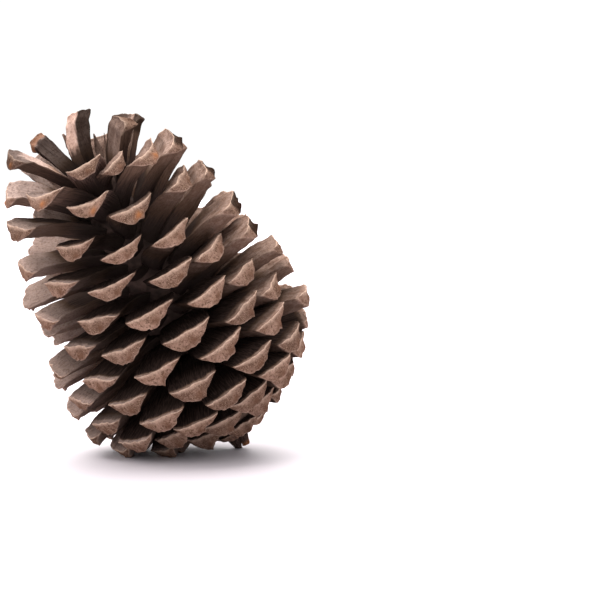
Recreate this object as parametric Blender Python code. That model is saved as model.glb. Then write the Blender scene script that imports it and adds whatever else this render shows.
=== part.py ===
"""Open pine cone resting on its lowest scales, one woody body.

Every scale is placed by one rule: each next scale stands one divergence angle
further round the axis, and its root and tip follow the cone's outline from the
packed base to the splayed top.  All scales are fused into the axis.
Measures are millimetres along, across and round the cone's own axis.
"""
import math
import random

import bmesh
import bpy
from mathutils import Matrix, Vector

MM = 0.001

# Spiral order of the scales, counted from the scale in the middle of the front.
FIRST_SCALE = -92
LAST_SCALE = 50
DIVERGENCE = 137.592
FRONT_ANGLE = -9.75

# Outline of the cone at a few scales of the spiral.
OUTLINE_AT = (-92, -80, -64, -50, -35, -18, 0, 18, 36, 44, 50)
TIP_HEIGHT = (6.2, 10.2, 16.0, 20.5, 28.0, 37.6, 50.0, 64.6, 83.0, 89.5, 89.0)
TIP_REACH = (6.5, 15.5, 24.5, 29.1, 30.2, 28.8, 26.7, 24.0, 20.0, 15.5, 14.5)
ROOT_HEIGHT = (8.0, 13.5, 20.5, 24.0, 28.5, 34.5, 42.5, 53.5, 67.0, 71.5, 74.0)
ROOT_REACH = (2.6, 6.0, 8.5, 7.0, 5.6, 4.6, 3.8, 3.0, 2.2, 1.6, 1.4)
SCALE_WIDTH = (6.0, 9.4, 11.6, 12.0, 12.4, 12.4, 12.4, 11.6, 10.0, 9.0, 7.6)
SCALE_DEPTH = (2.4, 2.8, 3.3, 3.8, 4.0, 4.0, 3.9, 3.7, 3.3, 3.0, 2.8)
LEFT_SWELL = (0.4, 1.0, 2.0, 2.1, 1.9, 1.6, 1.0, 0.0, -0.8, 0.0, 0.0)
LEFT_ANGLE = -100.0
NEVER_OPENED = (38, 41, 45, 47, 48, 49)

# The woody axis, as heights and radii, widening to the bowl under the base.
AXIS_HEIGHT = (3.2, 4.6, 6.6, 9.0, 12.5, 17.5, 22.5, 29.0, 42.0, 60.0, 74.0, 79.0)
AXIS_RADIUS = (3.2, 6.0, 11.0, 15.6, 19.0, 18.0, 13.5, 10.0, 8.2, 6.6, 4.8, 2.6)
AXIS_SIDES = 14
BEND_START = 30.0
BEND_FORWARD = 0.00207

# Scales the rule alone would misplace: turned by degrees, raised, reaching further.
PUSHED = {
    -71: (0.0, -1.1, 0.3),
    -66: (0.0, -1.2, 0.4),
    -63: (2.0, 1.0, -0.8),
    -58: (-2.0, -0.6, 1.0),
    -45: (0.0, 0.0, 1.2),
    -44: (-3.0, -0.7, -0.4),
    -41: (0.0, 1.2, 0.8),
    -36: (0.0, 0.0, 2.2),
    -32: (0.0, 0.0, 1.4),
    -28: (0.0, 2.5, 2.4),
    -24: (0.0, 0.0, 0.8),
    -23: (-1.7, 0.5, -1.1),
    -19: (0.0, -0.8, 2.8),
    -15: (0.0, 1.6, 2.8),
    -12: (0.0, -1.6, 2.0),
    -11: (0.0, -0.3, 2.0),
    -10: (-4.0, 0.6, -1.3),
    -7: (0.0, 2.0, 1.2),
    -6: (0.0, -0.6, 0.6),
    -3: (3.0, -0.4, -0.7),
    -2: (0.0, 1.4, 1.0),
    2: (0.0, -0.8, 1.0),
    3: (-2.4, 1.8, -1.4),
    5: (4.0, -0.4, -0.4),
    6: (0.0, 0.4, 0.8),
    10: (2.0, -1.5, 2.5),
    11: (2.0, 0.2, 3.0),
    14: (0.0, -0.6, 0.0),
    15: (0.0, -5.2, 5.2),
    16: (-7.0, 0.8, -1.1),
    19: (0.0, 0.9, 0.2),
    20: (0.0, -3.0, 2.0),
    21: (-6.0, -0.2, 0.2),
    23: (4.0, -1.3, 2.2),
    24: (0.4, 1.2, -0.8),
    27: (0.0, -0.8, 0.0),
    28: (0.0, 0.0, -5.0),
    29: (-9.0, -0.9, 0.0),
    31: (0.0, 2.2, 2.4),
    32: (0.0, -0.8, 0.0),
    33: (0.0, 1.2, 0.0),
    35: (0.0, -0.3, -2.0),
    36: (0.0, 0.2, -0.2),
    37: (0.0, -1.1, 0.7),
    40: (0.0, -0.7, -5.4),
    42: (-10.0, 0.5, 0.0),
    43: (11.0, -1.0, -3.2),
    44: (0.0, 3.2, -1.4),
    46: (7.0, -2.6, 0.6),
    50: (-6.6, -5.2, 0.7),
}

# Scales at the open tip that dried narrower: share of width, share of depth.
NARROWED = {35: (0.86, 1.1), 40: (0.90, 1.2), 43: (0.86, 1.3), 46: (0.70, 1.2)}

# Stations along one scale: place, half width, trough, thickness, all as shares.
STATIONS = (
    (0.00, 0.42, 0.02, 0.50),
    (0.45, 0.80, 0.05, 0.36),
    (0.80, 0.98, 0.08, 0.58),
    (0.945, 1.00, 0.09, 1.05),
    (1.00, 0.93, 0.07, 0.26),
)
ARCH = 0.06
TIP_BULGE = 1.6

# Broken stalk under the base.
STALK_HEIGHT = (-3.4, -2.2, 0.0, 6.0)
STALK_RADIUS = (1.6, 2.4, 2.9, 3.4)
STALK_SHIFT = (-2.6, -2.4, -1.8, -0.8)
STALK_SIDES = 8

# Pose on the table: tipped forward, rolled to the left, turned back a little.
TIP_FORWARD = 20.0
ROLL_LEFT = 30.2
TURN_BACK = 8.0
TABLE_LEVEL = -2.5


def remove_everything():
    for item in list(bpy.data.objects):
        bpy.data.objects.remove(item, do_unlink=True)


def along(values, number):
    """Value of an outline row at one scale, by straight lines between stations."""
    last = len(OUTLINE_AT) - 1
    for place in range(last):
        start = OUTLINE_AT[place]
        end = OUTLINE_AT[place + 1]
        if number <= end or place == last - 1:
            share = (number - start) / (end - start)
            return values[place] + share * (values[place + 1] - values[place])
    return values[last]


def bent(point):
    """Point of the straight cone moved to where the forward bend puts it."""
    rise = max(0.0, point.z - BEND_START)
    slope = 2.0 * BEND_FORWARD * rise
    shift = BEND_FORWARD * rise * rise
    return Vector((point.x, point.y - shift, point.z + slope * point.y))


def solid(name, points, faces, material):
    """Mesh object from points in the cone's own millimetres."""
    mesh = bpy.data.meshes.new(name)
    mesh.from_pydata([bent(point) * MM for point in points], [], faces)
    mesh.materials.append(material)
    mesh.update()
    item = bpy.data.objects.new(name, mesh)
    bpy.context.collection.objects.link(item)
    return item


def loft_faces(rings, sides):
    """Side faces between rings of equal size, with both ends closed."""
    faces = []
    for ring in range(rings - 1):
        base = ring * sides
        for side in range(sides):
            beside = (side + 1) % sides
            faces.append((base + side, base + beside, base + sides + beside, base + sides + side))
    faces.append(tuple(reversed(range(sides))))
    faces.append(tuple(range((rings - 1) * sides, rings * sides)))
    return faces


def turned_body(name, heights, radii, shifts, sides, material):
    """Round body along the cone's axis, each ring shifted sideways; heights must rise."""
    points = []
    for height, radius, shift in zip(heights, radii, shifts):
        for side in range(sides):
            angle = math.tau * side / sides
            across = shift + radius * math.cos(angle)
            points.append(Vector((across, radius * math.sin(angle), height)))
    return solid(name, points, loft_faces(len(heights), sides), material)


def scale_points(number, chance):
    """Rings of one scale, from the root in the axis out to its keeled tip."""
    turned, raised, reached = PUSHED.get(number, (0.0, 0.0, 0.0))
    tip_height = along(TIP_HEIGHT, number) + raised
    azimuth = FRONT_ANGLE + DIVERGENCE * number + turned
    leftward = max(-0.6, math.cos(math.radians(azimuth - LEFT_ANGLE)))
    tip_reach = along(TIP_REACH, number) + along(LEFT_SWELL, number) * leftward + reached
    root_height = along(ROOT_HEIGHT, number)
    root_reach = along(ROOT_REACH, number)
    width_share, depth_share = NARROWED.get(number, (1.0, 1.0))
    half_width = 0.5 * along(SCALE_WIDTH, number) * chance.uniform(0.95, 1.05) * width_share
    depth = along(SCALE_DEPTH, number) * depth_share
    angle = math.radians(azimuth)
    roll = math.radians(chance.uniform(-5.0, 5.0))

    outward = Vector((math.sin(angle), -math.cos(angle), 0.0))
    across = Vector((math.cos(angle), math.sin(angle), 0.0))
    root = outward * root_reach + Vector((0.0, 0.0, root_height))
    tip = outward * tip_reach + Vector((0.0, 0.0, tip_height))
    run = tip - root
    length = run.length
    forward = run.normalized()
    upper = forward.cross(across)
    rings = []
    for place, wide, trough, thick in STATIONS:
        turn = Matrix.Rotation(roll * place, 3, forward)
        side = turn @ across
        top = turn @ upper
        centre = root + run * place + upper * (ARCH * length * 4.0 * place * (1.0 - place))
        width = half_width * wide
        lift = half_width * trough * 1.6
        below = depth * thick
        nose = forward * (TIP_BULGE * max(0.0, place - 0.8) / 0.2)
        rings.append(centre - side * width + top * lift - nose * 0.4)
        rings.append(centre - side * width * 0.62 - top * below * 0.72)
        rings.append(centre - top * below + nose * 0.6)
        rings.append(centre + side * width * 0.62 - top * below * 0.72)
        rings.append(centre + side * width + top * lift - nose * 0.4)
        rings.append(centre + nose * 0.6)
    return rings


def wood_material():
    material = bpy.data.materials.new("cone_wood")
    material.use_nodes = True
    shader = material.node_tree.nodes["Principled BSDF"]
    shader.inputs["Base Color"].default_value = (0.30, 0.19, 0.13, 1.0)
    shader.inputs["Roughness"].default_value = 0.75
    return material


def fuse(body, group):
    """Joins a collection's solids into the body and removes them."""
    joint = body.modifiers.new("fuse", "BOOLEAN")
    joint.operation = "UNION"
    joint.operand_type = "COLLECTION"
    joint.collection = group
    apply_modifiers(body)
    for item in list(group.objects):
        bpy.data.objects.remove(item, do_unlink=True)
    bpy.data.collections.remove(group)


def apply_modifiers(body):
    view = bpy.context.evaluated_depsgraph_get()
    mesh = bpy.data.meshes.new_from_object(body.evaluated_get(view))
    body.modifiers.clear()
    body.data = mesh


def drop_scraps(body):
    """Keeps only the biggest connected piece of the mesh."""
    shape = bmesh.new()
    shape.from_mesh(body.data)
    left = set(shape.verts)
    groups = []
    while left:
        group = set()
        edge = {left.pop()}
        while edge:
            vertex = edge.pop()
            group.add(vertex)
            for link in vertex.link_edges:
                other = link.other_vert(vertex)
                if other in left:
                    left.remove(other)
                    edge.add(other)
        groups.append(group)
    groups.sort(key=len)
    for group in groups[:-1]:
        bmesh.ops.delete(shape, geom=list(group), context="VERTS")
    shape.to_mesh(body.data)
    shape.free()


def cut_into_triangles(body):
    """Triangles only, without pairs that lie back to back where a face met itself."""
    shape = bmesh.new()
    shape.from_mesh(body.data)
    bmesh.ops.triangulate(shape, faces=shape.faces, quad_method="BEAUTY", ngon_method="BEAUTY")
    seen = {}
    doubled = []
    for face in shape.faces:
        corners = frozenset(vertex.index for vertex in face.verts)
        if corners in seen:
            doubled.extend((face, seen[corners]))
        seen[corners] = face
    bmesh.ops.delete(shape, geom=doubled, context="FACES")
    shape.to_mesh(body.data)
    shape.free()


def pose():
    """Turn from the cone's own axis to the way it lies on the table."""
    forward = Matrix.Rotation(math.radians(TIP_FORWARD), 4, "X")
    left = Matrix.Rotation(math.radians(-ROLL_LEFT), 4, "Y")
    back = Matrix.Rotation(math.radians(-TURN_BACK), 4, "X")
    return back @ left @ forward


def rest_on_table(body, material):
    """Turns the cone, trims its lowest points flat and centres it at the origin."""
    body.data.transform(pose())
    bpy.ops.mesh.primitive_cube_add(size=0.4, location=(0.0, 0.0, TABLE_LEVEL * MM - 0.2))
    table = bpy.context.object
    table.data.materials.append(material)
    cut = body.modifiers.new("cut", "BOOLEAN")
    cut.operation = "DIFFERENCE"
    cut.object = table
    apply_modifiers(body)
    bpy.data.objects.remove(table, do_unlink=True)
    xs = [vertex.co.x for vertex in body.data.vertices]
    ys = [vertex.co.y for vertex in body.data.vertices]
    zs = [vertex.co.z for vertex in body.data.vertices]
    middle = Vector((0.5 * (min(xs) + max(xs)), 0.5 * (min(ys) + max(ys)), min(zs)))
    body.data.transform(Matrix.Translation(-middle))


def build():
    remove_everything()
    wood = wood_material()
    chance = random.Random(11)
    straight = (0.0,) * len(AXIS_HEIGHT)
    cone = turned_body("cone", AXIS_HEIGHT, AXIS_RADIUS, straight, AXIS_SIDES, wood)
    group = bpy.data.collections.new("scales")
    bpy.context.scene.collection.children.link(group)
    faces = loft_faces(len(STATIONS), 6)
    pieces = []
    for number in range(FIRST_SCALE, LAST_SCALE + 1):
        points = scale_points(number, chance)
        if number not in NEVER_OPENED:
            pieces.append(solid("scale", points, faces, wood))
    stalk = turned_body("stalk", STALK_HEIGHT, STALK_RADIUS, STALK_SHIFT, STALK_SIDES, wood)
    pieces.append(stalk)
    for piece in pieces:
        bpy.context.collection.objects.unlink(piece)
        group.objects.link(piece)
    fuse(cone, group)
    rest_on_table(cone, wood)
    drop_scraps(cone)
    cut_into_triangles(cone)


build()
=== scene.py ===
"""Open pine cone on a pale floor under soft studio light.

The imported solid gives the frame.  Every scale is built again with its real form: a thin
woody blade that widens from the axis, a thick end with a keel, an umbo under the keel,
and a torn lower edge.  Measures inside the cone are millimetres along its own axis.
"""
import math

import bpy
import numpy as np
from mathutils import Matrix, Vector

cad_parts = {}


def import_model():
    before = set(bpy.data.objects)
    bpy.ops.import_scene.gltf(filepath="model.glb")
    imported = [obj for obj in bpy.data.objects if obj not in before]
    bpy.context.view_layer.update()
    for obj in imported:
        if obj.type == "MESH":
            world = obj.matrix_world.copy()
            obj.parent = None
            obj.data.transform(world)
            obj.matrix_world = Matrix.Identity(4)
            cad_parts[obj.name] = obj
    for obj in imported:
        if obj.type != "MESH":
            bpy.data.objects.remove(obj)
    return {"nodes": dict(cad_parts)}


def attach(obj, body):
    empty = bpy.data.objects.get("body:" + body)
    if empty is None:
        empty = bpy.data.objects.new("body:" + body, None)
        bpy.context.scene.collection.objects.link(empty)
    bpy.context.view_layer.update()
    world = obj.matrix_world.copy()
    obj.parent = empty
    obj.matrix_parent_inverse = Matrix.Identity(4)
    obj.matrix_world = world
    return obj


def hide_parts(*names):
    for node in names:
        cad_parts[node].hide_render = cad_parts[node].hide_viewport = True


MM = 0.001

# The spiral and outline of the solid model, repeated here.  Each curve has one value
# for each number in OUTLINE_AT, from the base of the cone to its tip.
FIRST_SCALE = -92
LAST_SCALE = 50
DIVERGENCE = 137.592
FRONT_ANGLE = -9.75

OUTLINE_AT = (-92, -80, -64, -50, -35, -18, 0, 18, 36, 44, 50)
TIP_HEIGHT = (6.2, 10.2, 16.0, 20.5, 28.0, 37.6, 50.0, 64.6, 83.0, 89.5, 89.0)
TIP_REACH = (6.5, 15.5, 24.5, 29.1, 30.2, 28.8, 26.7, 24.0, 20.0, 15.5, 14.5)
ROOT_HEIGHT = (8.0, 13.5, 20.5, 24.0, 28.5, 34.5, 42.5, 53.5, 67.0, 71.5, 74.0)
ROOT_REACH = (2.6, 6.0, 8.5, 7.0, 5.6, 4.6, 3.8, 3.0, 2.2, 1.6, 1.4)
SCALE_WIDTH = (6.0, 9.4, 11.6, 12.0, 12.4, 12.4, 12.4, 11.6, 10.0, 9.0, 7.6)
SCALE_DEPTH = (2.4, 2.8, 3.3, 3.8, 4.0, 4.0, 3.9, 3.7, 3.3, 3.0, 2.8)
LEFT_SWELL = (0.4, 1.0, 2.0, 2.1, 1.9, 1.6, 1.0, 0.0, -0.8, 0.0, 0.0)
LEFT_ANGLE = -100.0
NEVER_OPENED = (38, 41, 45, 47, 48, 49)

# More curves up the cone, as numbers of scales and values: how far the base scales are
# tucked down, how much deeper their ends are, and the hollow and the hump of the top.
BASE_TUCK = ((-92, -86, -80, -74), (1.9, 1.7, 1.1, 0.0))
BASE_DEPTH = ((-92, -83, -80, -68, -56), (1.05, 1.12, 1.42, 1.42, 1.0))
TROUGH = ((-40, 0, 20, 32), (0.0, 0.1, 0.5, 1.5))
HUMP = ((-40, 10, 35), (0.0, 0.15, 0.50))

# The woody axis, as heights and radii, widening to the bowl under the base.
AXIS_HEIGHT = (3.2, 4.6, 6.6, 9.0, 12.5, 17.5, 22.5, 29.0, 42.0, 60.0, 74.0, 79.0)
AXIS_RADIUS = (3.2, 6.0, 11.0, 15.6, 19.0, 18.0, 13.5, 10.0, 8.2, 6.6, 4.8, 2.6)
BOWL_SHRINK = 2.4
BEND_START = 30.0
BEND_FORWARD = 0.00207

# Scales the rule alone would misplace: turned by degrees, raised, reaching further.
PUSHED = {
    -71: (0.0, -1.1, 0.3),
    -66: (0.0, -1.2, 0.4),
    -63: (2.0, 1.0, -0.8),
    -58: (-2.0, -0.6, 1.0),
    -45: (0.0, 0.0, 1.2),
    -44: (-3.0, -0.7, -0.4),
    -41: (0.0, 1.2, 0.8),
    -36: (0.0, 0.0, 2.2),
    -32: (0.0, 0.0, 1.4),
    -28: (0.0, 2.5, 2.4),
    -24: (0.0, 0.0, 0.8),
    -23: (-1.7, 0.5, -1.1),
    -19: (0.0, -0.8, 2.8),
    -15: (0.0, 1.6, 2.8),
    -12: (0.0, -1.6, 2.0),
    -11: (0.0, -0.3, 2.0),
    -10: (-4.0, 0.6, -1.3),
    -7: (0.0, 2.0, 1.2),
    -6: (0.0, -0.6, 0.6),
    -3: (3.0, -0.4, -0.7),
    -2: (0.0, 1.4, 1.0),
    2: (0.0, -0.8, 1.0),
    3: (-2.4, 1.8, -1.4),
    5: (4.0, -0.4, -0.4),
    6: (0.0, 0.4, 0.8),
    10: (2.0, -1.5, 2.5),
    11: (2.0, 0.2, 3.0),
    14: (0.0, -0.6, 0.0),
    15: (0.0, -5.2, 5.2),
    16: (-7.0, 0.8, -1.1),
    19: (0.0, 0.9, 0.2),
    20: (0.0, -3.0, 2.0),
    21: (-6.0, -0.2, 0.2),
    23: (4.0, -1.3, 2.2),
    24: (0.4, 1.2, -0.8),
    27: (0.0, -0.8, 0.0),
    28: (0.0, 0.0, -5.0),
    29: (-9.0, -0.9, 0.0),
    31: (0.0, 2.2, 2.4),
    32: (0.0, -0.8, 0.0),
    33: (0.0, 1.2, 0.0),
    35: (0.0, -0.3, -2.0),
    36: (0.0, 0.2, -0.2),
    37: (0.0, -1.1, 0.7),
    40: (0.0, -0.7, -5.4),
    42: (-10.0, 0.5, 0.0),
    43: (11.0, -1.0, -3.2),
    44: (0.0, 3.2, -1.4),
    46: (7.0, -2.6, 0.6),
    50: (-6.6, -5.2, 0.7),
}

# Scales whose fine form alone reaches further than the solid's.
SPREAD = {20: 3.0, 12: 1.2, 4: 1.2, -14: 1.0, 7: 1.5}

# Scales at the open tip that dried narrower: share of width, share of depth,
# and fold across in millimetres, up as a ridge or down as a hollow.
NARROWED = {
    35: (0.86, 1.1, -1.2),
    40: (0.90, 1.2, 1.0),
    43: (0.76, 1.4, 2.8),
    44: (1.0, 1.0, 0.7),
    46: (0.52, 1.9, 1.2),
    50: (1.0, 1.0, 0.5),
}

# Scales bent sideways between root and end, in millimetres.
SWAYED = {43: 2.2, 46: 0.8}

# Patches on single scales: painted shade on shaded facets and hollows, and painted light on
# lit facets, with some darker wood.  Place from and to, across from and to, strength; paler
# below 0.
LIGHT_SHADE_AND_STAIN_PATCHES = {
    35: (
        (0.30, 1.10, 0.08, 1.20, 0.55),
        (0.80, 1.10, -1.20, -0.38, 0.70),
        (0.20, 1.02, -0.36, 0.06, -0.60),
    ),
    40: ((0.30, 1.10, -1.20, 1.20, 0.45),),
    43: (
        (0.30, 1.10, -1.20, -0.04, 0.84),
        (0.30, 0.60, -0.14, 1.20, 0.62),
        (0.62, 1.10, 0.02, 1.20, -1.00),
    ),
    44: (
        (0.90, 1.10, -1.20, 1.20, 0.50),
        (0.35, 0.88, -1.20, 1.20, -0.70),
    ),
    46: (
        (0.10, 0.91, -1.20, 1.20, 0.80),
        (0.90, 1.10, -1.20, 1.20, 0.36),
        (0.985, 1.10, -1.20, 1.20, 0.70),
    ),
}

# Scales dark all over underneath, scales with a rusty umbo, and scales rusty to the end.
SHADED = {44: 0.48}
RUSTY = (29, 32, 34, 36, 37, 39, 44, 46)
RUSTY_END = {46: 0.50}

# Form along one scale, as places from the root at 0 to the keel at 1 and shares of the
# full measure.  In width most scales are fans, and those near the tip are straps.  In
# thickness a scale is a thin blade with a thick end, and a stout one is thick all along.
FAN_WIDTH = ((0.0, 0.25, 0.5, 0.72, 0.86, 0.95, 1.0), (0.42, 0.62, 0.83, 0.95, 1.0, 1.0, 0.95))
STRAP_WIDTH = ((0.0, 0.2, 0.45, 0.75, 1.0), (0.48, 0.68, 0.90, 1.0, 0.96))
THICKNESS = (
    (0.0, 0.45, 0.72, 0.83, 0.91, 0.950, 0.970, 0.978, 0.988, 0.995, 1.0),
    (0.44, 0.28, 0.33, 0.52, 0.78, 0.96, 1.00, 0.86, 0.50, 0.22, 0.04),
)
STOUT_THICKNESS = ((0.0, 0.45, 0.72, 0.90, 0.96, 0.97), (1.1, 1.15, 1.10, 1.05, 1.0, 0.0))
BLADE_THICK = 0.16
ARCH = 0.06

# Half width of a full-grown scale, from which the detail of a smaller one shrinks, and
# the number from which each scale's own chance is seeded.
FULL_HALF_WIDTH = 6.0
CHANCE_START = 1000

# The broken stalk's lobes: start, stop, radius at both, seed, share of raw wood.
STALK_LOBES = (
    ((-1.6, 0.0, 6.0), (-2.7, 0.0, -2.9), 2.3, 0.65, 5.0, 0.3),
    ((0.6, -0.2, 6.0), (-0.4, -0.3, -1.2), 2.0, 1.05, 9.0, 1.0),
)

# Remains of seed wings: foot and tip as seen, depth of each, widths at foot, middle, tip.
WINGS = (
    ((103.0, 170.0), (93.0, 132.0), 22.0, 25.0, (1.2, 2.0, 0.3)),
    ((106.0, 168.0), (103.5, 131.0), 22.0, 24.0, (1.0, 0.8, 0.15)),
    ((72.0, 152.0), (62.0, 132.5), 23.0, 25.0, (1.8, 1.5, 0.5)),
    ((70.0, 196.0), (46.0, 178.0), 24.0, 27.0, (1.6, 1.4, 0.2)),
    ((82.0, 224.0), (46.0, 211.0), 16.0, 20.0, (1.8, 1.6, 0.3)),
    ((188.0, 203.0), (201.0, 194.0), 22.0, 23.0, (0.6, 0.4, 0.15)),
    ((60.0, 276.0), (30.0, 262.0), 12.0, 16.0, (2.0, 1.8, 0.3)),
)
WING_THICK = 0.0002
# Masks of the wings: mostly tan, much painted sheen with paler weathering, a faint painted
# highlight.
WING_LOOK = {
    "end": 0.75, "keel": 0.15, "umbo": 0.0, "along": 0.9, "face": 0.3,
    "tint": 0.9, "warm": 0.2, "stain": 0.0, "frost": 0.8,
}

# Levels along and points round the axis, a lobe of the stalk and a seed wing, and the
# margin of each scale's UV inside its tile.
AXIS_GRID = (90, 72)
STALK_GRID = (26, 40)
WING_GRID = (14, 8)
TILE_MARGIN = 0.03

# Pose on the table in degrees, where the foot of the cone's axis then stands, and the
# least height of any point over the table.
TIP_FORWARD = 20.0
ROLL_LEFT = 30.2
TURN_BACK = 8.0
FOOT = (20.309, 9.428, 2.5)
LOWEST = 0.02

# The photographed frame: distance, pixels per unit slope, and the foot's pixel.
VIEW_DISTANCE = 0.5
VIEW_SLOPE = 2000.0
FOOT_PIXEL = (244.4, 438.0)
FRAME_PIXELS = 600.0
SENSOR_WIDTH = 36.0

# Colours of the wood; a pair is the dark and the light that a patchy area runs between.
FACE_BROWN = ((0.150, 0.086, 0.060), (0.235, 0.144, 0.108))
TOP_TAN = ((0.172, 0.105, 0.080), (0.268, 0.184, 0.151))
# Pinkish grey of upper sides turned to the lamps: partly painted sheen, partly paler weathered wood.
TOP_SHEEN_AND_BLEACH = (0.280, 0.208, 0.184)
GRAIN_DARK = (0.070, 0.037, 0.025)
SPECKLE_PALE = (0.340, 0.222, 0.160)
STREAK_DARK = (0.085, 0.047, 0.036)
BLADE_BROWN = ((0.054, 0.035, 0.029), (0.150, 0.096, 0.081))
BLADE_ROOT = (0.062, 0.043, 0.037)
EDGE_BROWN = (0.108, 0.064, 0.043)
# Painted highlight along keels, torn lips and the side edges of the ends.
KEEL_HIGHLIGHT = (0.50, 0.355, 0.275)
UMBO_BROWN = (0.085, 0.046, 0.033)
UMBO_RUST = (0.30, 0.120, 0.050)
AXIS_BROWN = ((0.060, 0.041, 0.035), (0.120, 0.078, 0.065))
BOWL_BROWN = ((0.055, 0.037, 0.029), (0.125, 0.082, 0.062))
FLOOR_PALE = ((0.476, 0.438, 0.468), (0.496, 0.457, 0.488))

# Lamps: direction towards them, strength, spread in degrees, colour.
KEY_LAMP = ((-0.16, 0.41, 0.90), 8.2, 75.0, (1.0, 0.985, 0.965))
FILL_LAMP = ((-0.30, -0.62, 0.72), 1.7, 60.0, (1.0, 0.985, 0.97))
LAMP_DISTANCE = 0.8
SURROUNDINGS = 1.05
FLOOR_HALF = 3.0


def along(values, number):
    """Value of an outline curve at a scale's number."""
    return float(np.interp(number, OUTLINE_AT, values))


def read_at(place, curve):
    """Value of a curve, given as places and values, at one place."""
    return float(np.interp(place, *curve))


def ramp(value, low, high):
    """Smooth step from 0 at low to 1 at high."""
    share = np.clip((value - low) / (high - low), 0.0, 1.0)
    return share * share * (3.0 - 2.0 * share)


def band(value, low, full, fall, end):
    """1 between full and fall, smoothly down to 0 at low and at end."""
    return ramp(value, low, full) * (1.0 - ramp(value, fall, end))


def bulge(value, middle, width):
    """Rounded bump of height 1 at the middle."""
    return np.exp(-(((value - middle) / width) ** 2))


def noise(points, size, seed):
    """Smooth noise from -1 to 1 at each point, with lumps of the given size.

    Each corner of the cell that holds a point gets a value mixed from its whole-number
    place, and the eight values are blended smoothly.
    """
    spot = np.asarray(points) / size + seed * 17.31
    cell = np.floor(spot).astype(np.int64)
    part = spot - cell
    part = part * part * (3.0 - 2.0 * part)
    total = np.zeros(spot.shape[:-1])
    for corner in range(8):
        step = np.array([corner & 1, corner >> 1 & 1, corner >> 2 & 1])
        key = (cell + step) * np.array([73856093, 19349663, 83492791])
        mixed = (key[..., 0] ^ key[..., 1] ^ key[..., 2]) & 0x7FFFFFFF
        mixed = (mixed * 1103515245 + 12345) & 0x7FFFFFFF
        mixed = ((mixed >> 7) * 69069 + 1) & 0x7FFFFFFF
        weight = np.where(step == 1, part, 1.0 - part).prod(axis=-1)
        total += weight * ((mixed >> 8) % 10007 / 5003.0 - 1.0)
    return total


def pose_matrix():
    """Turn of the cone from its own upright axis to the way it lies."""
    forward = Matrix.Rotation(math.radians(TIP_FORWARD), 3, "X")
    left = Matrix.Rotation(math.radians(-ROLL_LEFT), 3, "Y")
    back = Matrix.Rotation(math.radians(-TURN_BACK), 3, "X")
    return np.array(back @ left @ forward)


POSE = pose_matrix()


def bent(points):
    """Points with the upper part of the cone bent slightly to the front."""
    rise = np.maximum(0.0, points[..., 2] - BEND_START)
    out = points.copy()
    out[..., 1] = points[..., 1] - BEND_FORWARD * rise * rise
    out[..., 2] = points[..., 2] + 2.0 * BEND_FORWARD * rise * points[..., 1]
    return out


def placed(points):
    """Points in the cone's millimetres, bent, posed and moved into the frame in metres."""
    turned = bent(points) @ POSE.T + np.array(FOOT)
    turned[..., 2] = np.maximum(turned[..., 2], LOWEST)
    return turned * MM


def from_view(across, down, toward):
    """Frame point in metres under a pixel of the photographed view, at a depth in mm."""
    lean = math.radians(TURN_BACK)
    distance = VIEW_DISTANCE / MM
    pixels_per_mm = VIEW_SLOPE / distance
    share = 1.0 - toward / distance
    right = (across - FOOT_PIXEL[0]) * share / pixels_per_mm
    up = (FOOT_PIXEL[1] - down) * share / pixels_per_mm
    return (np.array(FOOT) + np.array([right, 0.0, 0.0])
            + up * np.array([0.0, math.sin(lean), math.cos(lean)])
            + toward * np.array([0.0, -math.cos(lean), math.sin(lean)])) * MM


# Grid of one scale: places along it, and points across its under side and back over its
# upper side, from -1 at one edge to 1 at the other.
PLACES = np.concatenate([
    np.linspace(0.0, 0.78, 14)[:-1],
    np.linspace(0.78, 0.970, 12)[:-1],
    np.linspace(0.970, 1.0, 13),
])
ACROSS = 27
RING = 2 * ACROSS - 2


def ring_spots():
    """Places across of the points round a scale, closer together at its edges."""
    half = np.linspace(-1.0, 1.0, ACROSS)
    half = np.sign(half) * np.abs(half) ** 0.85
    return np.concatenate([half, half[-2:0:-1]])


# The points of that grid: PLACE along the scale and SIDE across it.  LOWER marks the under
# side with its edges, BENEATH without them, and ROUND_OFF is the share of the full
# thickness under each point.
PLACE, SIDE = np.meshgrid(PLACES, ring_spots(), indexing="ij")
LOWER = np.broadcast_to(np.arange(RING) < ACROSS, PLACE.shape)
EDGE = LOWER & (np.abs(SIDE) == 1.0)
BENEATH = LOWER & ~EDGE
ROUND_OFF = np.where(SIDE < 0.0, 1.0 - np.abs(SIDE) ** 2.7, 1.0 - np.abs(SIDE) ** 1.5)


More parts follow.
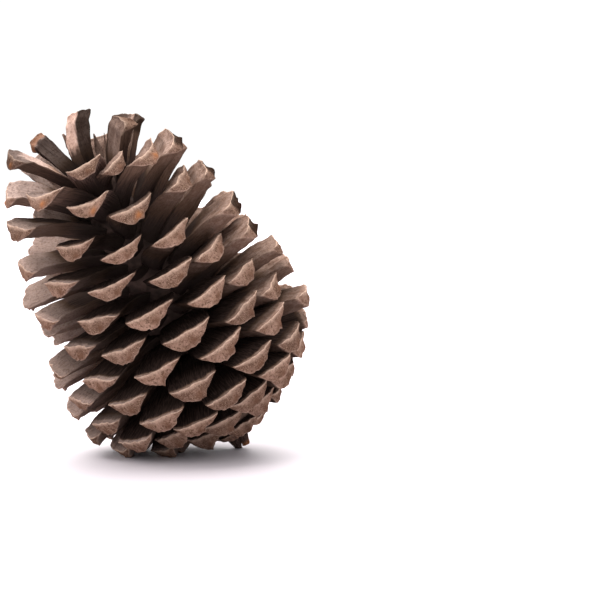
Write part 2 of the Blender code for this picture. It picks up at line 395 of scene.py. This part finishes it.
class Scale:
    """One scale: its line on the spiral, its sizes, its wear and its surface masks."""

    def __init__(self, number):
        self.number = number
        self.find_line()
        self.draw_sizes(np.random.default_rng(CHANCE_START + number))
        self.fit_to_side()
        self.wave = self.noise_over(3.0, 2.6, 0.0)
        self.tear = self.noise_over(0.0, 0.9, 0.0) + 0.7 * self.noise_over(0.0, 0.42, 3.0)
        self.umbo = BENEATH * np.exp(
            -((np.abs(SIDE - self.umbo_at) / 0.15) ** 1.6) - (np.abs(PLACE - 0.983) / 0.0065) ** 1.6
        )

    def find_line(self):
        """Root, length and directions, from the spiral and the outline curves."""
        number = self.number
        turned, raised, reached = PUSHED.get(number, (0.0, 0.0, 0.0))
        reached += SPREAD.get(number, 0.0)
        azimuth = FRONT_ANGLE + DIVERGENCE * number + turned
        leftward = max(-0.6, math.cos(math.radians(azimuth - LEFT_ANGLE)))
        reach = along(TIP_REACH, number) + along(LEFT_SWELL, number) * leftward + reached
        height = along(TIP_HEIGHT, number) + raised - read_at(number, BASE_TUCK)
        angle = math.radians(azimuth)
        outward = np.array([math.sin(angle), -math.cos(angle), 0.0])
        up = np.array([0.0, 0.0, 1.0])
        self.across = np.array([math.cos(angle), math.sin(angle), 0.0])
        self.root = outward * along(ROOT_REACH, number) + up * along(ROOT_HEIGHT, number)
        run = outward * reach + up * height - self.root
        self.length = float(np.linalg.norm(run))
        self.forward = run / self.length
        self.upper = np.cross(self.forward, self.across)

    def draw_sizes(self, chance):
        """Sizes and quirks, drawn in a fixed order so that each run is the same."""
        number = self.number
        width_share, self.thick_share, self.fold = NARROWED.get(number, (1.0, 1.0, 0.0))
        self.half = 0.5 * along(SCALE_WIDTH, number) * chance.uniform(0.95, 1.06) * width_share
        self.depth = along(SCALE_DEPTH, number) * chance.uniform(0.92, 1.06)
        self.depth *= read_at(number, BASE_DEPTH)
        self.roll = math.radians(chance.uniform(-6.0, 6.0))
        self.skew = chance.uniform(-0.35, 0.35)
        self.umbo_at = chance.uniform(0.0, 0.22)
        self.tooth_at = chance.uniform(0.10, 0.60)
        self.tooth_size = chance.uniform(0.25, 0.95)
        self.trough = read_at(number, TROUGH) + chance.uniform(-0.2, 0.25)
        self.seed = chance.uniform(1.0, 90.0)
        self.tint = chance.uniform(0.0, 1.0)
        self.grain_shift = chance.uniform(0.0, 60.0)
        self.hump = read_at(number, HUMP)
        self.size = self.half / FULL_HALF_WIDTH

    def fit_to_side(self):
        """Shares from 0 to 1 that set scales apart by their height and their side."""
        number = self.number
        self.strap = float(np.clip((number - 26) / 12.0, 0.0, 1.0))
        facing = math.cos(math.radians(FRONT_ANGLE + DIVERGENCE * number - LEFT_ANGLE))
        self.domed = ramp(facing, 0.3, 0.85) * ramp(number, -45, -25) * (1.0 - self.strap)
        self.trough -= 0.9 * self.domed
        self.roll -= math.radians(7.0) * self.domed
        self.stout = ramp(abs(facing), 0.1, 0.75) * (1.0 - 0.5 * self.strap)
        # Painted sheen with paler weathering on scales turned to the left, towards the lamps, and on
        # the straps at the tip.
        self.frost = ramp(facing, 0.1, 0.7) + 0.35 * self.strap
        # How lit a scale's upper side is painted: straps and scales turned aside are lit, the others
        # keep painted shade on their blades.
        angle = math.degrees(math.atan2(self.across[1], self.across[0]))
        aside = ramp(abs(angle), 45.0, 100.0)
        if angle > 0.0:
            aside = ramp(angle, 15.0, 80.0) * ramp(number, -60.0, -10.0)
        self.lit_share = max(0.9 * aside, self.strap)
        self.nubbed = 60.0 < angle < 125.0 and -12 < number < 40

    def noise_over(self, stretch, size, extra):
        """Noise over the scale, the same along it where stretch is 0."""
        spots = np.stack([SIDE * self.half, np.full_like(SIDE, self.seed), PLACE * stretch], axis=-1)
        return noise(spots, size, self.seed + extra)

    def top(self):
        """Height of the upper side over the scale's line."""
        size = self.size
        arch = ARCH * self.length * 4.0 * PLACE * (1.0 - PLACE)
        shape = SIDE * SIDE + self.skew * (SIDE - SIDE * SIDE * SIDE)
        lift = self.trough * size * shape * ramp(PLACE, 0.1, 0.8)
        folded = self.fold * size * (0.6 - np.abs(SIDE + 0.15)) * ramp(PLACE, 0.2, 0.7)
        hump = self.hump * bulge(PLACE, 0.90, 0.055) * (1.0 - 0.5 * SIDE * SIDE)
        ridge = 0.30 * self.hump * bulge(SIDE, 0.0, 0.12) * ramp(PLACE, 0.45, 0.85)
        drop = (0.10 * self.depth * self.hump / 0.5) * ramp(PLACE, 0.90, 1.0)
        drop = drop - 0.22 * ramp(PLACE, 0.955, 0.998)
        waved = 0.34 * self.wave * ramp(PLACE, 0.80, 1.0)
        return arch + lift + folded + hump + ridge - drop + waved

    def bottom(self, top):
        """Height of the under side: a thin blade that swells to the thick end."""
        thick = np.interp(PLACE, *THICKNESS)
        body = np.interp(PLACE, *STOUT_THICKNESS)
        thick = thick + self.stout * np.maximum(0.0, body - thick)
        ribs = 0.12 * np.cos(SIDE * 11.0 + self.seed) * band(PLACE, 0.15, 0.4, 0.82, 0.9)
        swell = self.depth * thick * self.thick_share * ROUND_OFF
        return top - BLADE_THICK - swell + ribs * ROUND_OFF

    def torn_lip(self):
        """Torn lower edge of the end, with one larger tooth."""
        lip = bulge(PLACE, 0.965, 0.018) * BENEATH * ROUND_OFF
        tooth = ramp(SIDE, self.tooth_at - 0.025, self.tooth_at + 0.025)
        tooth = tooth - 0.7 * bulge(SIDE - self.tooth_at, -0.07, 0.06)
        torn = (0.34 + 0.25 * self.domed) * self.tear + self.tooth_size * tooth
        return lip * torn * self.size

    def form(self):
        """Places of the points across, along and over the scale's line."""
        fan = np.interp(PLACE, *FAN_WIDTH)
        wide = fan + (np.interp(PLACE, *STRAP_WIDTH) - fan) * self.strap
        x = self.half * wide * SIDE + SWAYED.get(self.number, 0.0) * 4.0 * PLACE * (1.0 - PLACE)
        nub = 1.25 if self.nubbed else 0.45 + 0.35 * self.strap
        ahead = ramp(PLACE, 0.80, 1.0) * (0.45 - 0.9 * SIDE ** 4) * self.size
        ahead = ahead + nub * self.size * self.umbo
        ahead = ahead + 0.20 * self.tear * ramp(PLACE, 0.95, 1.0) * self.size
        top = self.top()
        z = np.where(BENEATH, self.bottom(top), top)
        z = np.where(EDGE, top - 0.5 * BLADE_THICK, z)
        z = z + self.torn_lip()
        return np.stack([x, PLACE * self.length + ahead, z], axis=-1)

    def worn(self, form):
        """The form with lumps, veins, a chipped keel and frayed sides."""
        seed = self.seed
        x = form[..., 0]
        run = PLACE * self.length
        bulk = np.stack([noise(form, 4.5, seed + k) for k in (1.0, 2.0, 3.0)], axis=-1)
        fine = np.stack([noise(form, 1.3, seed + k) for k in (4.0, 5.0, 6.0)], axis=-1)
        lumps = 0.36 * bulk * np.array([0.8, 0.7, 0.8]) + 0.15 * fine
        local = form + ramp(PLACE, 0.25, 0.6)[..., None] * lumps
        veins = noise(np.stack([x * 3.0, run * 0.14, np.zeros_like(x)], axis=-1), 1.0, seed)
        local[..., 2] += 0.11 * veins * ramp(PLACE, 0.3, 0.8) * (1.0 - 0.6 * ramp(PLACE, 0.95, 1.0))
        cords_at = np.stack([x * 1.6, run * 0.10, local[..., 2] * 1.8], axis=-1)
        cords = noise(cords_at, 1.0, seed + 9.0) * band(PLACE, 0.2, 0.5, 0.90, 0.96)
        local[..., 0] += 0.22 * self.stout * cords * np.sign(SIDE) * np.abs(SIDE) ** 3
        chips = np.maximum(0.0, self.noise_over(9.0, 0.75, 5.0) - 0.15) * ramp(PLACE, 0.90, 1.0)
        local[..., 1] -= (0.55 + 0.55 * self.domed) * chips * self.size
        return local

    def points(self, local):
        """The local places, rolled and set on the scale's line in the cone."""
        turn = self.roll * PLACE
        side_x = np.cos(turn)[..., None] * self.across + np.sin(turn)[..., None] * self.upper
        side_z = np.cos(turn)[..., None] * self.upper - np.sin(turn)[..., None] * self.across
        return (self.root + local[..., 1:2] * self.forward
                + local[..., 0:1] * side_x + local[..., 2:3] * side_z)

    def stain(self):
        """How much darker each point is: a little random darkening, painted shade on blades that
        scales above overhang and on end faces and nubs turned from the lamps, patches of painted
        shade and painted light, and the dark undersides of the SHADED scales.
        """
        # Painted shade on the upper blade of scales whose tops are not painted as lit.
        blade = 0.78 * (1.0 - self.lit_share) * band(PLACE, 0.25, 0.70, 0.925, 0.965)
        stain = np.maximum(0.10 * ramp(self.wave, 0.1, 0.7), blade)
        # Painted shade on the end face and the nub of scales turned away from the lamps.
        if self.nubbed:
            beside = BENEATH * ramp(PLACE, 0.95, 0.965) * (0.20 + 0.62 * ramp(SIDE, -0.40, -0.10))
            stain = np.maximum(stain, beside)
            stain = np.maximum(stain, 0.80 * np.clip(1.8 * self.umbo, 0.0, 1.0))
        rough_s = PLACE + 0.045 * self.tear
        rough_y = SIDE + 0.06 * self.tear
        for low, high, left, right, strength in LIGHT_SHADE_AND_STAIN_PATCHES.get(self.number, ()):
            patch = band(rough_s, low - 0.03, low + 0.03, high - 0.03, high + 0.03)
            patch = patch * band(rough_y, left - 0.06, left + 0.06, right - 0.06, right + 0.06)
            if strength > 0.0:
                stain = np.maximum(stain, strength * patch)
            else:
                stain = stain + strength * patch
        if self.number in SHADED:
            shaded = np.maximum(stain, SHADED[self.number])
            stain = np.where(BENEATH, shaded, stain)
        return stain

    def masks(self):
        """Shares that the wood material reads at each point."""
        # The keel mask is a painted highlight along the keel, the torn lip and the side edges.
        keel = bulge(PLACE, 1.0, 0.0042) * np.where(BENEATH, 0.7, 1.0)
        lip = 0.55 * bulge(PLACE, 0.9710, 0.0026) * BENEATH * ramp(self.tear, -0.6, 0.2)
        # The painted highlight on the side edges and the tan on the upper side reach further back on
        # scales painted as lit; further in, the upper side is painted shade.
        rim_at = 0.965 - 0.08 * self.lit_share
        rim = 0.75 * bulge(np.abs(SIDE), 1.0, 0.035) * ramp(PLACE, rim_at, rim_at + 0.03)
        fade_at = 0.958 - 0.46 * self.lit_share
        fade_from = fade_at - 0.035 - 0.16 * self.lit_share
        fade_to = fade_at + 0.025 + 0.25 * self.lit_share
        tan_below = np.maximum(ramp(PLACE, 0.94, 0.968), 0.65 * self.stout * ramp(PLACE, 0.20, 0.85))
        umbo = self.umbo
        if self.number in RUSTY_END:
            umbo = RUSTY_END[self.number] * ramp(PLACE, 0.90, 0.93)
        return {
            "stain": self.stain(),
            "end": np.where(LOWER, tan_below, ramp(PLACE, fade_from, fade_to)),
            "keel": np.clip(keel + lip + rim, 0.0, 1.0),
            "umbo": np.clip(umbo * 1.3, 0.0, 1.0),
            "along": PLACE,
            "face": np.where(LOWER, ramp(PLACE, 0.95, 0.97), 0.0),
            "tint": self.tint,
            "warm": 1.0 if self.number in RUSTY and not self.nubbed else 0.12,
            "frost": self.frost,
        }


def side_faces(rows, ring, start):
    """Quads round a closed grid, with its first row capped."""
    faces = []
    for row in range(rows - 1):
        low = start + row * ring
        for spot in range(ring):
            beside = (spot + 1) % ring
            faces.append((low + spot, low + beside, low + ring + beside, low + ring + spot))
    faces.append(tuple(start + spot for spot in reversed(range(ring))))
    return faces


def tube_faces(rows, ring, start):
    """Faces of a closed grid with both its ends capped."""
    last = start + (rows - 1) * ring
    return side_faces(rows, ring, start) + [tuple(range(last, last + ring))]


def scale_faces(rows, ring, start):
    """Faces of a scale, with its keel closed by pairs of points above and below."""
    faces = side_faces(rows, ring, start)
    last = start + (rows - 1) * ring
    for spot in range(ACROSS - 1):
        beside = spot + 1
        over = (ring - beside) % ring if beside < ACROSS - 1 else beside
        corners = []
        for corner in (spot, beside, over, (ring - spot) % ring):
            if last + corner not in corners:
                corners.append(last + corner)
        if len(corners) > 2:
            faces.append(tuple(corners))
    return faces


def tube_grid(first, last, size):
    """Level and angle of each point of a closed grid of levels by points round it."""
    rows, ring = size
    angles = np.linspace(0.0, math.tau, ring, endpoint=False)
    return np.meshgrid(np.linspace(first, last, rows), angles, indexing="ij")


class Piece:
    """Grids of points gathered into one smooth mesh piece of the cone."""

    def __init__(self):
        self.points = []
        self.faces = []
        self.masks = {}
        self.local = []
        self.uv = []
        self.count = 0

    def add(self, points, grid_faces, masks, local=None, uv=None):
        """Add a grid in metres, with its masks, its places in the grain and its UV."""
        rows, ring = points.shape[:2]
        self.faces += grid_faces(rows, ring, self.count)
        self.points.append(points.reshape(-1, 3))
        self.count += rows * ring
        for key, value in masks.items():
            spread = np.broadcast_to(value, (rows, ring)).ravel()
            self.masks.setdefault(key, []).append(spread)
        if local is not None:
            self.local.append(local.reshape(-1, 3))
        if uv is not None:
            self.uv.append(uv.reshape(-1, 2))

    def build(self, name, material):
        """Make the mesh; it rides on the cone's one body."""
        mesh = bpy.data.meshes.new(name)
        points = [tuple(point) for point in np.concatenate(self.points)]
        mesh.from_pydata(points, [], self.faces)
        for key, values in self.masks.items():
            layer = mesh.attributes.new(key, "FLOAT", "POINT")
            layer.data.foreach_set("value", np.concatenate(values).astype(np.float32))
        if self.local:
            layer = mesh.attributes.new("local", "FLOAT_VECTOR", "POINT")
            local = np.concatenate(self.local).astype(np.float32)
            layer.data.foreach_set("vector", local.ravel())
        if self.uv:
            layer = mesh.uv_layers.new(name="OFBake")
            spots = np.empty(len(mesh.loops), dtype=np.int32)
            mesh.loops.foreach_get("vertex_index", spots)
            uv = np.concatenate(self.uv)[spots].astype(np.float32)
            layer.data.foreach_set("uv", uv.ravel())
        mesh.shade_smooth()
        mesh.materials.append(material)
        item = bpy.data.objects.new(name, mesh)
        bpy.context.scene.collection.objects.link(item)
        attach(item, "root")
        return item


class Nodes:
    """Short helper for building a material's node tree."""

    def __init__(self, name):
        self.material = bpy.data.materials.new(name)
        self.material.use_nodes = True
        self.tree = self.material.node_tree
        self.shader = self.tree.nodes["Principled BSDF"]

    def add(self, kind, **values):
        """A new node with the given settings."""
        node = self.tree.nodes.new(kind)
        for key, value in values.items():
            setattr(node, key, value)
        return node

    def feed(self, socket, value):
        """Link an output, or set a number or a colour, on an input."""
        if isinstance(value, (int, float)):
            socket.default_value = value
        elif isinstance(value, tuple):
            socket.default_value = (*value, 1.0)
        else:
            self.tree.links.new(value, socket)

    def shade(self, name, value):
        """Feed one input of the material's shader."""
        self.feed(self.shader.inputs[name], value)

    def mask(self, name):
        """One of the masks stored at the mesh's points."""
        return self.add("ShaderNodeAttribute", attribute_name=name).outputs["Fac"]

    def place(self):
        """Place of the shaded point in the object, in metres."""
        return self.add("ShaderNodeTexCoord").outputs["Object"]

    def math(self, operation, first, second):
        """A sum, a difference or a product."""
        node = self.add("ShaderNodeMath", operation=operation)
        self.feed(node.inputs[0], first)
        self.feed(node.inputs[1], second)
        return node.outputs[0]

    def times(self, first, second):
        """A product."""
        return self.math("MULTIPLY", first, second)

    def mix(self, share, first, second):
        """First colour at a share of 0, second colour at 1."""
        node = self.add("ShaderNodeMix", data_type="RGBA", clamp_factor=True)
        self.feed(node.inputs[0], share)
        self.feed(node.inputs[6], first)
        self.feed(node.inputs[7], second)
        return node.outputs[2]

    def scaled(self, colour, share):
        """A colour made darker or lighter as a whole."""
        node = self.add("ShaderNodeVectorMath", operation="SCALE")
        self.feed(node.inputs[0], colour)
        self.feed(node.inputs["Scale"], share)
        return node.outputs[0]

    def noise(self, vector, scale, detail, stretch=None):
        """Noise over a vector, which stretch multiplies axis by axis."""
        if stretch is not None:
            mapping = self.add("ShaderNodeMapping")
            mapping.inputs["Scale"].default_value = stretch
            self.feed(mapping.inputs["Vector"], vector)
            vector = mapping.outputs["Vector"]
        node = self.add("ShaderNodeTexNoise")
        self.feed(node.inputs["Scale"], scale)
        self.feed(node.inputs["Detail"], detail)
        self.feed(node.inputs["Vector"], vector)
        return node.outputs["Fac"]

    def span(self, value, low, high, to_low=0.0, to_high=1.0):
        """Smooth step that runs between two results as the value goes from low to high."""
        node = self.add("ShaderNodeMapRange", interpolation_type="SMOOTHSTEP")
        for socket, given in zip(node.inputs[:5], (value, low, high, to_low, to_high)):
            self.feed(socket, given)
        return node.outputs[0]

    def bump(self, height, strength, distance):
        """Fine relief on the shader's surface."""
        node = self.add("ShaderNodeBump")
        self.feed(node.inputs["Strength"], strength)
        self.feed(node.inputs["Distance"], distance)
        self.feed(node.inputs["Height"], height)
        self.shade("Normal", node.outputs["Normal"])


def tan_colour(nodes, patch, grain, speckle, streak):
    """Greyish tan of a scale's end, with painted sheen and paler weathering on tops turned to
    the lamps, dark grain, pale speckles and dark streaks.
    """
    frost = nodes.times(nodes.mask("frost"), nodes.span(streak, 0.30, 0.60, 0.45, 0.85))
    above = nodes.mix(frost, nodes.mix(patch, *TOP_TAN), TOP_SHEEN_AND_BLEACH)
    tan = nodes.mix(nodes.mask("face"), above, nodes.mix(patch, *FACE_BROWN))
    tan = nodes.scaled(tan, nodes.span(nodes.mask("tint"), 0.0, 1.0, 0.70, 1.16))
    strength = nodes.span(nodes.mask("face"), 0.0, 1.0, 0.40, 0.80)
    tan = nodes.mix(nodes.times(nodes.span(grain, 0.50, 0.64), strength), tan, GRAIN_DARK)
    tan = nodes.mix(nodes.times(nodes.span(speckle, 0.54, 0.66), strength), tan, SPECKLE_PALE)
    return nodes.mix(nodes.times(nodes.span(streak, 0.50, 0.66), 0.50), tan, STREAK_DARK)


def scale_material():
    """Dry cone wood: greyish tan ends, dark brown blades, painted highlights on keels, rusty umbos.
    """
    nodes = Nodes("scale_wood")
    local = nodes.add("ShaderNodeAttribute", attribute_name="local").outputs["Vector"]
    patch = nodes.span(nodes.noise(local, 0.45, 2.0), 0.35, 0.68)
    grain = nodes.noise(local, 1.7, 5.0)
    speckle = nodes.noise(local, 5.0, 2.0)
    streak = nodes.noise(local, 1.0, 4.0, (4.0, 0.07, 2.4))
    tan = tan_colour(nodes, patch, grain, speckle, streak)

    blade = nodes.mix(nodes.span(streak, 0.35, 0.70), *BLADE_BROWN)
    blade = nodes.mix(nodes.span(nodes.mask("along"), 0.30, 0.85), BLADE_ROOT, blade)
    streaky = nodes.times(nodes.math("SUBTRACT", streak, 0.5), 0.5)
    broken = nodes.math("ADD", nodes.mask("end"), streaky)
    edge = nodes.mix(nodes.span(broken, 0.10, 0.50), blade, EDGE_BROWN)
    colour = nodes.mix(nodes.span(broken, 0.26, 0.92), edge, tan)
    # Painted highlight on keels and edges, broken by the grain.
    pale = nodes.times(nodes.mask("keel"), nodes.span(grain, 0.30, 0.60, 0.95, 0.60))
    colour = nodes.mix(pale, colour, KEEL_HIGHLIGHT)
    rust = nodes.mix(nodes.mask("warm"), UMBO_BROWN, UMBO_RUST)
    colour = nodes.mix(nodes.times(nodes.mask("umbo"), 0.85), colour, rust)
    # This mask darkens the colour for painted shade and darker wood, and lightens it for painted
    # light where it is below 0.
    colour = nodes.scaled(colour, nodes.math("SUBTRACT", 1.0, nodes.mask("stain")))

    relief = nodes.math("ADD", nodes.times(grain, 0.6), nodes.times(streak, 0.9))
    relief = nodes.math("ADD", relief, nodes.times(speckle, 0.25))
    relief = nodes.times(relief, nodes.span(nodes.mask("stain"), 0.40, 0.80, 1.0, 0.40))
    nodes.shade("Base Color", colour)
    nodes.shade("Roughness", nodes.span(grain, 0.3, 0.7, 0.70, 0.92))
    nodes.shade("Specular IOR Level", 0.0)
    nodes.bump(relief, 0.8, 0.0003)
    return nodes.material


def axis_material():
    """Lumpy dark wood of the axis between the scales, and of the bowl at its foot."""
    nodes = Nodes("axis_wood")
    lump = nodes.noise(nodes.place(), 420.0, 4.0)
    patch = nodes.span(lump, 0.35, 0.7)
    bowl = nodes.mix(patch, *BOWL_BROWN)
    nodes.shade("Base Color", nodes.mix(nodes.mask("bowl"), nodes.mix(patch, *AXIS_BROWN), bowl))
    nodes.shade("Roughness", 0.9)
    nodes.shade("Specular IOR Level", 0.08)
    nodes.bump(lump, 0.7, 0.0006)
    return nodes.material


def floor_material():
    """Pale paper, very slightly mottled."""
    nodes = Nodes("floor_paper")
    nodes.shade("Base Color", nodes.mix(nodes.noise(nodes.place(), 60.0, 3.0), *FLOOR_PALE))
    nodes.shade("Roughness", 0.6)
    nodes.shade("Specular IOR Level", 0.3)
    return nodes.material


def tile_uv(order, side):
    """UV of one scale in its own tile of a square of tiles."""
    rows = np.linspace(TILE_MARGIN, 1.0 - TILE_MARGIN, len(PLACES))
    columns = np.linspace(TILE_MARGIN, 1.0 - TILE_MARGIN, RING)
    v, u = np.meshgrid(rows, columns, indexing="ij")
    return np.stack([u + order % side, v + order // side], axis=-1) / side


def build_scales(material):
    """All scales, gathered into a few pieces up the cone."""
    zones = (
        ("scales_base", FIRST_SCALE, -60),
        ("scales_lower", -59, -32),
        ("scales_middle", -31, -4),
        ("scales_upper", -3, 24),
        ("scales_top", 25, LAST_SCALE),
    )
    made = []
    for name, first, last in zones:
        numbers = [n for n in range(first, last + 1) if n not in NEVER_OPENED]
        side = math.ceil(math.sqrt(len(numbers)))
        zone = Piece()
        for order, number in enumerate(numbers):
            scale = Scale(number)
            local = scale.worn(scale.form())
            zone.add(
                placed(scale.points(local)), scale_faces, scale.masks(),
                local + scale.grain_shift, tile_uv(order, side),
            )
        made.append(zone.build(name, material))
    return made


def build_axis(material):
    """Rough woody axis with the bowl that carries the base scales."""
    height, angle = tube_grid(AXIS_HEIGHT[0], AXIS_HEIGHT[-1], AXIS_GRID)
    radius = np.interp(height, AXIS_HEIGHT, AXIS_RADIUS)
    radius = radius - BOWL_SHRINK * band(height, 4.6, 8.5, 15.0, 20.0)
    grid = np.stack([radius * np.cos(angle), radius * np.sin(angle), height], axis=-1)
    swell = 1.0 + 0.05 * noise(grid, 4.0, 3.0) + 0.03 * noise(grid, 1.5, 8.0)
    grid[..., :2] *= swell[..., None]
    axis = Piece()
    axis.add(placed(grid), tube_faces, {"bowl": 1.0 - ramp(height, 11.0, 17.0)})
    return axis.build("axis", material)


def build_stalk(material):
    """Broken stalk under the base, torn into two fibrous lobes."""
    share, angle = tube_grid(0.0, 1.0, STALK_GRID)
    stalk = Piece()
    for start, stop, wide, narrow, seed, rawness in STALK_LOBES:
        radius = wide + (narrow - wide) * ramp(share, 0.2, 1.0)
        flat_x = radius * np.cos(angle)
        flat_y = -radius * np.sin(angle) * 0.9
        flat = np.stack([flat_x, flat_y, np.zeros_like(angle)], axis=-1)
        grid = np.array(start) + share[..., None] * (np.array(stop) - np.array(start)) + flat
        fibres_at = np.stack([angle * 3.0, np.full_like(angle, seed), share * 0.7], axis=-1)
        fibres = noise(fibres_at, 0.55, seed)
        split = (0.22 * fibres * ramp(share, 0.1, 0.5))[..., None]
        grid[..., :2] += split * flat[..., :2] / radius[..., None]
        grid[..., 2] += 0.5 * fibres * ramp(share, 0.75, 1.0)
        raw = ramp(share, 0.80, 1.0) * rawness
        masks = {
            "end": 0.10, "keel": 0.0, "umbo": raw, "along": 0.75 + 0.2 * share, "face": 1.0,
            "tint": 0.5, "warm": 0.75, "stain": 0.45 * (1.0 - raw), "frost": 0.0,
        }
        stalk.add(placed(grid), tube_faces, masks, grid * np.array([1.0, 1.0, 0.4]))
    return stalk.build("stalk", material)


def build_wings(material):
    """Thin pale slivers left between the scales."""
    share, angle = tube_grid(0.0, 1.0, WING_GRID)
    wings = Piece()
    for order, (foot, tip, near, far, widths) in enumerate(WINGS):
        start = from_view(*foot, near)
        line = from_view(*tip, far) - start
        length = np.linalg.norm(line)
        run = line / length
        side = np.cross(run, np.array([0.0, 0.95, 0.3]))
        side /= np.linalg.norm(side)
        wide = np.interp(share, (0.0, 0.55, 1.0), widths) * MM * 0.5
        wave_at = np.stack([share * 6.0, angle, np.full_like(share, order)], axis=-1)
        wave = 0.16 * noise(wave_at, 1.0, 4.0 + order)
        curl = 0.12 * np.sin(share * math.pi) * length
        off = WING_THICK * np.sin(angle) + 0.25 * wide * np.cos(angle) ** 2 + curl
        grid = (start + share[..., None] * line
                + (wide * (np.cos(angle) + wave))[..., None] * side
                + off[..., None] * np.cross(side, run))
        wings.add(grid, tube_faces, WING_LOOK, grid / MM)
    return wings.build("seed_wings", material)


def build_camera():
    """Camera where the photographed frame puts it: the foot of the axis at its pixel."""
    lean = math.radians(TURN_BACK)
    back = Vector((0.0, -math.cos(lean), math.sin(lean)))
    data = bpy.data.cameras.new("camera")
    data.sensor_width = SENSOR_WIDTH
    data.lens = SENSOR_WIDTH * VIEW_SLOPE / FRAME_PIXELS
    data.clip_start = 0.01
    data.clip_end = 20.0
    camera = bpy.data.objects.new("camera", data)
    bpy.context.scene.collection.objects.link(camera)
    right_by = math.atan((FRAME_PIXELS / 2 - FOOT_PIXEL[0]) / VIEW_SLOPE)
    up_by = math.atan((FOOT_PIXEL[1] - FRAME_PIXELS / 2) / VIEW_SLOPE)
    camera.location = Vector(FOOT) * MM + back * VIEW_DISTANCE
    camera.rotation_euler = (math.pi / 2 - lean + up_by, 0.0, -right_by)
    bpy.context.scene.camera = camera


def soft_sun(name, toward, strength, spread, colour):
    """A distant soft lamp shining from the given direction."""
    data = bpy.data.lights.new(name, "SUN")
    data.energy = strength
    data.angle = math.radians(spread)
    data.color = colour
    lamp = bpy.data.objects.new(name, data)
    lamp.location = Vector(toward).normalized() * LAMP_DISTANCE
    lamp.rotation_euler = Vector(toward).to_track_quat("Z", "Y").to_euler()
    bpy.context.scene.collection.objects.link(lamp)


def build_floor():
    """Wide pale floor under the cone."""
    mesh = bpy.data.meshes.new("floor")
    corners = ((-1, -1), (1, -1), (1, 1), (-1, 1))
    points = [(FLOOR_HALF * x, FLOOR_HALF * y, 0.0) for x, y in corners]
    mesh.from_pydata(points, [], [(0, 1, 2, 3)])
    mesh.materials.append(floor_material())
    floor = bpy.data.objects.new("floor", mesh)
    bpy.context.scene.collection.objects.link(floor)


def build_light():
    """White surroundings, a large soft lamp above and a weak one in front."""
    world = bpy.data.worlds.new("surroundings")
    world.use_nodes = True
    backdrop = world.node_tree.nodes["Background"]
    backdrop.inputs["Color"].default_value = (1.0, 1.0, 1.0, 1.0)
    backdrop.inputs["Strength"].default_value = SURROUNDINGS
    bpy.context.scene.world = world
    soft_sun("key", *KEY_LAMP)
    soft_sun("fill", *FILL_LAMP)


def main():
    """The cone in its finer pieces, then the floor and the light round it."""
    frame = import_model()
    assert "cone" in frame["nodes"]
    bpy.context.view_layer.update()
    bpy.context.scene.view_settings.view_transform = "Standard"
    build_camera()
    wood = scale_material()
    made = build_scales(wood)
    made.append(build_axis(axis_material()))
    made.append(build_stalk(wood))
    made.append(build_wings(wood))
    for item in made:
        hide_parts("cone")
    build_floor()
    build_light()


main()
